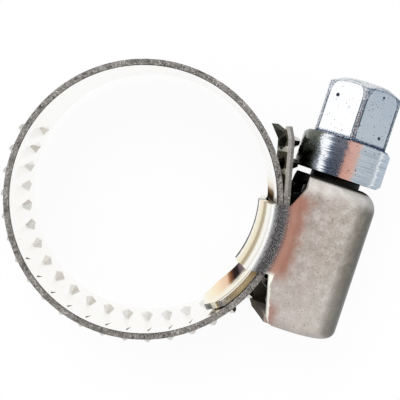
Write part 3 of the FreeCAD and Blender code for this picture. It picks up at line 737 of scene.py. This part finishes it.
class Screw(Look):
    """Blue-white zinc: turned collar with fine rings, pitted hexagon, worm painted dark for the shade under
    the cover.
    """

    ZINC = ((0.35, (0.90, 0.94, 0.97)), (0.65, (0.975, 0.985, 0.995)))
    # Painted shade on the head's rounded edges
    EDGE_SHADE = (0.10, 0.13, 0.19)
    RING = (0.42, 0.47, 0.53)
    SCUFF = (0.14, 0.17, 0.24)
    PIT = (0.03, 0.035, 0.05)
    # Painted shade line on the hexagon's arches, and painted darker reflection past them
    ARCH_SHADE_LINE = (0.04, 0.055, 0.08)
    BEYOND_ARCH_REFLECTION = (0.12, 0.15, 0.21)
    HEAD_BASE = (0.04, 0.07, 0.13)
    SHADE = ((0.4, (0.12, 0.135, 0.115)), (0.62, (0.34, 0.37, 0.33)))
    # Painted dark reflection towards the collar's foot
    FOOT_REFLECTION = (0.03, 0.035, 0.025)
    # Painted shade of the worm under the cover
    SHADE_UNDER_COVER = ((0.35, (0.012, 0.011, 0.010)), (0.7, (0.06, 0.06, 0.055)))

    # Noises: scale in each millimetre and detail, and the stretch of the turned rings
    RING_NOISE = (1.0, 3.0)
    RINGS_A_MM = 12.0
    RINGS_ROUND = 0.8
    SPECK_NOISE = (8.0, 2.0)
    GRAIN_NOISE = (16.0, 2.0)
    CLOUD_NOISE = (0.8, 4.0)
    SCUFF_NOISE = (4.5, 2.0)

    # Which surface it is: LEVEL masks leave out the faces that look along the screw
    ABOVE_FOOT = (COLLAR_FOOT, COLLAR_FOOT + 0.03)
    BELOW_COLLAR_TOP = (COLLAR_TOP + 0.03, COLLAR_TOP)
    COLLAR_LEVEL = (0.93, 0.86)
    HEAD = (COLLAR_TOP - 0.02, COLLAR_TOP + 0.02)
    HEAD_LEVEL = (0.95, 0.85)
    WORM = (COLLAR_FOOT + 0.05, COLLAR_FOOT - 0.02)

    # Marks on the zinc: a noise or an agreement of two normals at which they start and are full
    CREASED = (0.995, 0.955)
    CREASE_BREAKS = (0.58, 0.46)
    CREASE_SHARE = 0.9
    RINGED = (0.54, 0.38)
    RING_SHARE = 0.5
    SCUFFED = (0.35, 0.31)
    SCUFF_CLOUD = (0.36, 0.50)
    PIT_CORE = 0.6
    BASE_ABOVE = (COLLAR_TOP + 0.42, COLLAR_TOP + 0.12)
    BASE_BELOW = (COLLAR_TOP - 0.2, COLLAR_TOP - 0.05)
    BASE_BREAKS = (0.60, 0.50)

    # Arches on the hexagon: the rim is 0 on an arch, below 0 inside it and above 0 past it
    ARCH_WAVE = 0.08
    ARCH_POWER = 5.0
    ARCH_HALF_WIDTH = 0.87
    RIM_RISE = 0.5
    LINE_INNER = (-0.045, -0.01)
    LINE_OUTER = (0.06, 0.02)
    LINE_BREAKS = (0.64, 0.54)
    LINE_SHARE = 0.92
    BEYOND_RIM = (0.0, 0.03)
    BEYOND_BREAKS = (0.56, 0.48)
    BEYOND_SHARE = 0.85

    # Painted shade on the collar's left side, and painted dark reflection towards its foot: angles in
    # radians, heights in millimetres
    SHADE_WAVE = 0.5
    SHADE_TURN = (-0.74, -0.82)
    FOOT_REFLECTION_TURN = (-0.70, -0.95)
    FOOT_REFLECTION_WAVE = 1.5
    FOOT_REFLECTION_Y = (10.5, 9.7)
    FOOT_REFLECTION_SHARE = 0.9

    # Roughness and relief, on the head and on the collar
    ROUGHNESS = (0.12, 0.16)
    WORM_ROUGHNESS = 0.5
    JAG = 0.2
    SWING = 0.40
    RELIEF_DEPTH = 0.02
    RELIEF_STRENGTH = (0.3, 0.12)
    BEVEL_SAMPLES = 8

    def __init__(self):
        super().__init__("screw_zinc")
        self.side = self.minus(self.x, SCREW_X)
        self.turn = self.math("ARCTAN2", self.side, self.z)
        level = self.absolute(self.split(self.normal)[1])
        self.on_collar = self.every(self.step(self.y, *self.ABOVE_FOOT),
                                    self.step(self.y, *self.BELOW_COLLAR_TOP),
                                    self.step(level, *self.COLLAR_LEVEL))
        self.on_head = self.step(self.y, *self.HEAD)
        self.on_faces = self.every(self.on_head, self.step(level, *self.HEAD_LEVEL))
        turned = self.join(self.times(self.y, self.RINGS_A_MM), self.times(self.turn, self.RINGS_ROUND), 0.0)
        self.rings = self.noise(*self.RING_NOISE, turned)
        self.speck = self.noise(*self.SPECK_NOISE)
        self.grain = self.noise(*self.GRAIN_NOISE)
        self.cloud = self.noise(*self.CLOUD_NOISE)
        eased = self.node("ShaderNodeBevel", samples=self.BEVEL_SAMPLES)
        eased.inputs["Radius"].default_value = EDGE_SOFT * MM
        self.soft = eased.outputs[0]

        zinc = self.ramp(self.cloud, self.ZINC)
        zinc = self.edge_shaded(zinc)
        ringed = self.every(self.step(self.rings, *self.RINGED), self.on_collar, self.RING_SHARE)
        zinc = self.mix(ringed, zinc, self.RING)
        zinc = self.scuffed(zinc)
        zinc = self.arched(zinc)
        zinc = self.based(zinc)
        zinc = self.collar_shaded(zinc)
        worm = self.step(self.y, *self.WORM)
        colour = self.mix(worm, zinc, self.ramp(self.speck, self.SHADE_UNDER_COVER))
        roughness = self.blend(worm, self.blend(self.on_collar, *self.ROUGHNESS), self.WORM_ROUGHNESS)
        self.finish(colour, roughness, self.relief(), 1.0)

    def edge_shaded(self, zinc):
        """Painted shade as broken dark lines on the head's rounded edges."""
        true = self.node("ShaderNodeNewGeometry").outputs["Normal"]
        crease = self.step(self.vector("DOT_PRODUCT", self.soft, true), *self.CREASED)
        broken = self.step(self.blend(0.5, self.speck, self.grain), *self.CREASE_BREAKS)
        return self.mix(self.every(crease, self.on_head, broken, self.CREASE_SHARE), zinc, self.EDGE_SHADE)

    def scuffed(self, zinc):
        """Grey scuffs, and the three pits that stand out."""
        scuff = self.every(self.step(self.noise(*self.SCUFF_NOISE), *self.SCUFFED),
                           self.step(self.cloud, *self.SCUFF_CLOUD))
        zinc = self.mix(scuff, zinc, self.SCUFF)
        for pit, size in PITS:
            near = self.vector("DISTANCE", self.place, pit)
            zinc = self.mix(self.step(near, size, size * self.PIT_CORE), zinc, self.PIT)
        return zinc

    def across_face(self):
        """0 in the middle of a face of the hexagon, 1 on its corners, a little wavy."""
        turn_deg = self.times(self.turn, math.degrees(1))
        spin = self.math("WRAP", turn_deg, HEX_CORNER_DEG + FACE_DEG, HEX_CORNER_DEG)
        from_middle = self.times(self.minus(spin, HEX_CORNER_DEG + FACE_DEG / 2), math.radians(1))
        share = self.times(self.absolute(self.math("TANGENT", from_middle)), math.sqrt(3))
        return self.plus(share, self.centred(self.cloud, self.ARCH_WAVE))

    def arched(self, zinc):
        """Arch on each face of the hexagon: a broken dark line of painted shade, and a painted darker
        reflection past it.
        """
        across = self.across_face()
        arch = self.minus(ARCH_TOP, self.times(self.math("POWER", across, self.ARCH_POWER), ARCH_DROP))
        rim = self.either(self.times(self.minus(self.y, arch), self.RIM_RISE),
                          self.minus(across, self.ARCH_HALF_WIDTH))
        broken = self.step(self.blend(0.5, self.speck, self.cloud), *self.LINE_BREAKS)
        line = self.every(self.step(rim, *self.LINE_INNER), self.step(rim, *self.LINE_OUTER), self.on_faces,
                          broken, self.LINE_SHARE)
        zinc = self.mix(line, zinc, self.ARCH_SHADE_LINE)
        patchy = self.step(self.blend(0.6, self.speck, self.grain), *self.BEYOND_BREAKS)
        beyond = self.every(self.step(rim, *self.BEYOND_RIM), self.on_faces, patchy, self.BEYOND_SHARE)
        return self.mix(beyond, zinc, self.BEYOND_ARCH_REFLECTION)

    def based(self, zinc):
        """Dirt where the head meets the collar."""
        base = self.every(self.step(self.y, *self.BASE_ABOVE), self.step(self.y, *self.BASE_BELOW),
                          self.step(self.blend(0.5, self.speck, self.rings), *self.BASE_BREAKS))
        return self.mix(base, zinc, self.HEAD_BASE)

    def collar_shaded(self, zinc):
        """Painted grey-green shade on the collar's left side, and a painted dark reflection towards its foot.
        """
        edge = self.plus(self.turn, self.centred(self.speck, self.SHADE_WAVE))
        shade = self.every(self.step(edge, *self.SHADE_TURN), self.on_collar)
        zinc = self.mix(shade, zinc, self.ramp(self.grain, self.SHADE))
        height = self.plus(self.y, self.times(self.cloud, self.FOOT_REFLECTION_WAVE))
        foot_reflection = self.every(self.step(self.turn, *self.FOOT_REFLECTION_TURN), self.step(height, *self.FOOT_REFLECTION_Y),
                            self.on_collar, self.FOOT_REFLECTION_SHARE)
        return self.mix(foot_reflection, zinc, self.FOOT_REFLECTION)

    def relief(self):
        """Soft hexagon edges, and turned rings that swing the collar's gloss sideways."""
        world = self.node("ShaderNodeVectorTransform", vector_type="NORMAL", convert_from="OBJECT",
                          convert_to="WORLD")
        self.feed(self.unit(self.join(self.side, 0.0, self.z)), world.inputs[0])
        facing = self.mix_way(self.on_collar, self.soft, world.outputs[0])
        sideways = self.vector("CROSS_PRODUCT", facing, (0, 1, 0))
        jag = self.plus(self.minus(self.rings, 0.5), self.centred(self.grain, self.JAG))
        swing = self.vector("SCALE", sideways, scale=self.every(jag, self.on_collar, self.SWING))
        swung = self.unit(self.vector("ADD", facing, swing))
        strength = self.blend(self.on_collar, *self.RELIEF_STRENGTH)
        return self.bump(self.blend(0.5, self.speck, self.rings), self.RELIEF_DEPTH, strength, swung)


def dress(frame):
    """Give each CAD node its material."""
    for name, look in {"band": Band, "housing": Housing, "screw": Screw}.items():
        part = frame["nodes"][name]
        part.data.materials.clear()
        part.data.materials.append(look().material)


def floor_look():
    """White to the camera, painted for soft light, and with a grey-blue card at the right for gloss."""
    net = Look("floor_white")
    net.shader.inputs["Base Color"].default_value = (*FLOOR_PAINT, 1)
    net.shader.inputs["Roughness"].default_value = FLOOR_ROUGHNESS
    path = net.node("ShaderNodeLightPath")
    camera_ray = path.outputs["Is Camera Ray"]
    glossy_ray = path.outputs["Is Glossy Ray"]
    card = net.every(glossy_ray, net.step(net.x, *CARD_START_X), net.step(net.x, *CARD_END_X))
    glow = net.node("ShaderNodeEmission")
    glow.inputs["Strength"].default_value = 1
    net.feed(net.mix(card, WHITE, FLOOR_CARD), glow.inputs["Color"])
    blend = net.node("ShaderNodeMixShader")
    net.feed(net.either(net.times(camera_ray, FLOOR_GLOW), glossy_ray), blend.inputs[0])
    net.feed(net.shader.outputs[0], blend.inputs[1])
    net.feed(glow.outputs[0], blend.inputs[2])
    net.feed(blend.outputs[0], net.tree.nodes["Material Output"].inputs["Surface"])
    return net.material


def studio(floor_z):
    """White floor and one soft key lamp, which gloss doesn't see."""
    bpy.ops.mesh.primitive_plane_add(size=FLOOR_SIZE, location=(0, 0, floor_z))
    floor = bpy.context.object
    floor.name = "floor"
    floor.data.materials.append(floor_look())

    lamp = bpy.data.lights.new("key", "AREA")
    lamp.size = KEY_SIZE
    lamp.energy = KEY_POWER
    key = bpy.data.objects.new("key", lamp)
    key.location = KEY_PLACE
    key.rotation_mode = "QUATERNION"
    key.rotation_quaternion = (-key.location).to_track_quat("-Z", "Y")
    key.visible_glossy = False
    bpy.context.scene.collection.objects.link(key)


def world():
    """White to the camera and to soft light; gloss sees the sky and the cards."""
    made = bpy.data.worlds.new("studio")
    bpy.context.scene.world = made
    made.use_nodes = True
    net = Net(made.node_tree)
    x, y, z = net.split(net.node("ShaderNodeTexCoord").outputs["Generated"])
    lean = net.plus(net.times(net.math("ARCTAN2", x, z), math.degrees(1) / 360), 0.5)

    def over_lean(stops):
        return net.ramp(lean, [(degrees / 360 + 0.5, colour) for degrees, colour in stops])

    seen = net.mix(net.step(y, *CARDS_EDGE), over_lean(SKY), over_lean(CARDS))
    path = net.node("ShaderNodeLightPath")
    glossy_ray = path.outputs["Is Glossy Ray"]
    back = net.tree.nodes["Background"]
    net.feed(net.mix(glossy_ray, WHITE, seen), back.inputs["Color"])
    soft = net.blend(path.outputs["Is Camera Ray"], SOFT_LIGHT, 1.0)
    net.feed(net.blend(glossy_ray, soft, GLOSS_LIGHT), back.inputs["Strength"])


def camera():
    """Camera above the ring, looking straight down its axis as in the photograph."""
    data = bpy.data.cameras.new("photo")
    data.sensor_width = SENSOR
    data.lens = SENSOR * FOCAL_SHARE
    data.shift_x, data.shift_y = SHIFT
    data.clip_start = CLIP_START
    data.clip_end = CLIP_END
    made = bpy.data.objects.new("photo", data)
    roll = math.radians(CAMERA_ROLL_DEG)
    up = Vector((-math.sin(roll), math.cos(roll), 0))
    back = Vector((0, 0, 1))
    made.matrix_world = Matrix([up.cross(back), up, back]).transposed().to_4x4()
    made.location = (*CAMERA_FOOT, CAMERA_HEIGHT)
    bpy.context.scene.collection.objects.link(made)
    bpy.context.scene.camera = made


def main():
    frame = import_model()
    cad = [list(corner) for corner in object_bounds()]
    dress(frame)
    studio(cad[0][2])
    world()
    camera()
    bpy.context.scene.view_settings.view_transform = "Standard"


main()
